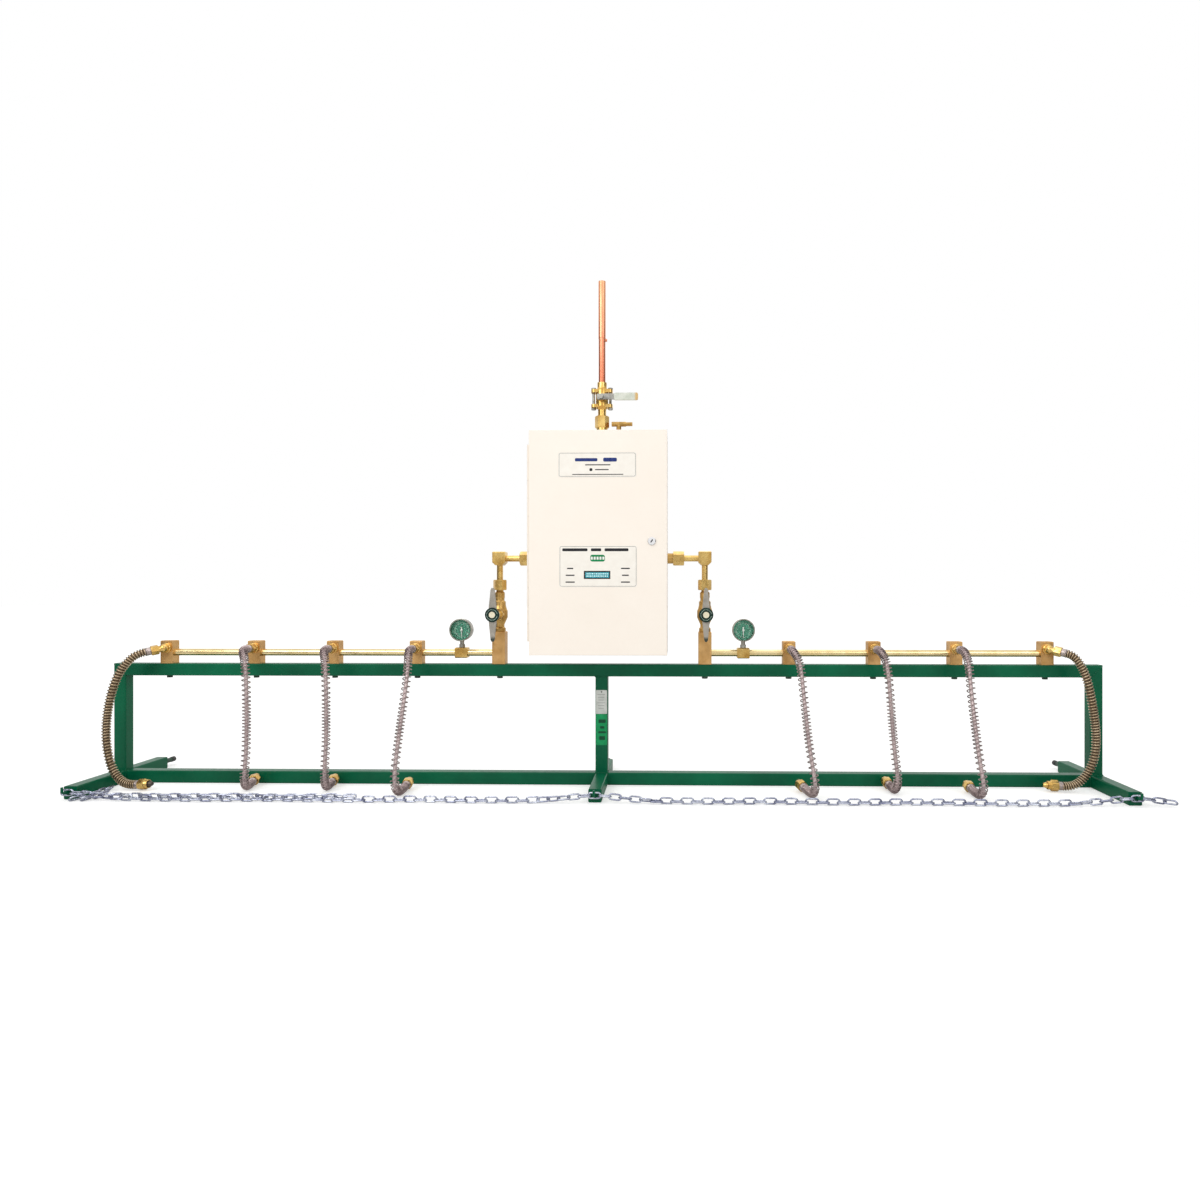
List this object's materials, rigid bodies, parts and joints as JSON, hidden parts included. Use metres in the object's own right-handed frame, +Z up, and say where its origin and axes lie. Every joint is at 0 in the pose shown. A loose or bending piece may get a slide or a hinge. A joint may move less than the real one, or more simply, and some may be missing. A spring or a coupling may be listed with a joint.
{
  "type": "oxygen manifold",
  "caption": "Gas manifold on a low green tube rack: brass header with flexible pigtails, master valves, a control cabinet and a copper outlet with a ball valve.",
  "frame": {"origin": "on the floor, under the middle of the centre foot", "axes": "+X along the rack to the right as seen from the front, +Y towards the wall behind, +Z up"},
  "size_m": [3.1379, 0.5105, 1.556],
  "materials": {
    "green_paint": "gloss paint on steel tube",
    "cream_paint": "textured powder coat",
    "brass": "machined",
    "bronze": "dark, cast and turned",
    "copper": "drawn pipe",
    "zinc": "bright zinc",
    "hose_steel": "spring wire round a braided core",
    "hose_bronze": "spring wire round a braided core",
    "grey_metal": "satin",
    "chrome": "polished",
    "dial_green": "printed scale",
    "white_paint": "matt",
    "clear": "clear",
    "green_plastic": "moulded",
    "tan_plastic": "dipped sleeve",
    "black_rubber": "moulded",
    "dark_plastic": "moulded"
  },
  "bodies": {
    "frame": {"top_rail": "green_paint", "end_posts": "green_paint", "center_post": "green_paint", "feet": "green_paint", "foot_end_plates": "green_paint", "bottom_rails": "green_paint", "anchor_studs": "zinc", "stud_tips": "black_rubber", "chain_hooks": "zinc", "restraint_chain": "zinc", "station_blocks": "brass", "station_bolts": "zinc", "header_pipes": "brass", "outlet_adapters": "brass", "pigtail_top_nuts": "bronze", "pigtail_sleeves": "grey_metal", "cylinder_nuts": "bronze", "cylinder_nipples": "brass", "left_pigtail_1": "hose_steel", "left_pigtail_2": "hose_steel", "left_pigtail_3": "hose_steel", "left_pigtail_4": "hose_bronze", "right_pigtail_1": "hose_steel", "right_pigtail_2": "hose_steel", "right_pigtail_3": "hose_steel", "right_pigtail_4": "hose_bronze", "gauge_tees": "brass", "gauge_cases": "grey_metal", "gauge_dials": "dial_green", "gauge_lenses": "clear", "valve_blocks": "brass", "valve_bodies": "brass", "valve_bonnets": "brass", "union_nuts": "brass", "riser_pipes": "brass", "riser_elbows": "brass", "cabinet_body": "cream_paint", "hinge_pin": "zinc", "primary_regulators": "brass", "line_regulator": "brass", "cabinet_piping": "copper", "outlet_nut": "brass", "ball_valve_body": "brass", "ball_valve_bolts": "zinc", "outlet_pipe": "copper", "vent_fitting": "bronze"},
    "door": {"cabinet_door": "cream_paint", "display_window": "clear", "control_board": "dark_plastic"},
    "lock": {"door_lock": "chrome"},
    "left_valve": {"left_valve_handle": "grey_metal", "left_hub_cap": "green_plastic"},
    "right_valve": {"right_valve_handle": "grey_metal", "right_hub_cap": "green_plastic"},
    "left_pointer": {"left_gauge_pointer": "white_paint"},
    "right_pointer": {"right_gauge_pointer": "white_paint"},
    "outlet_lever": {"ball_valve_lever": "zinc", "lever_sleeve": "tan_plastic"}
  },
  "joints": [
    {"name": "door_hinge", "type": "hinge", "parent": "frame", "child": "door", "pos_m": [-0.2073, -0.1205, 0.7385], "axis": [0, 0, -1], "range_deg": [0, 110]},
    {"name": "lock_turn", "type": "hinge", "parent": "door", "child": "lock", "pos_m": [0.158, -0.139, 0.743], "axis": [0, -1, 0], "range_deg": [0, 90]},
    {"name": "left_valve_turn", "type": "hinge", "parent": "frame", "child": "left_valve", "pos_m": [-0.318, -0.104, 0.526], "axis": [0, -1, 0], "range_deg": [0, 630]},
    {"name": "left_pointer_turn", "type": "hinge", "parent": "frame", "child": "left_pointer", "pos_m": [-0.436, 0, 0.477], "axis": [0, 1, 0], "range_deg": [0, 300]},
    {"name": "right_valve_turn", "type": "hinge", "parent": "frame", "child": "right_valve", "pos_m": [0.318, -0.104, 0.526], "axis": [0, -1, 0], "range_deg": [0, 630]},
    {"name": "right_pointer_turn", "type": "hinge", "parent": "frame", "child": "right_pointer", "pos_m": [0.436, 0, 0.477], "axis": [0, 1, 0], "range_deg": [0, 300]},
    {"name": "outlet_lever_turn", "type": "hinge", "parent": "frame", "child": "outlet_lever", "pos_m": [0, -0.03, 1.192], "axis": [0, -1, 0], "range_deg": [0, 90]}
  ]
}
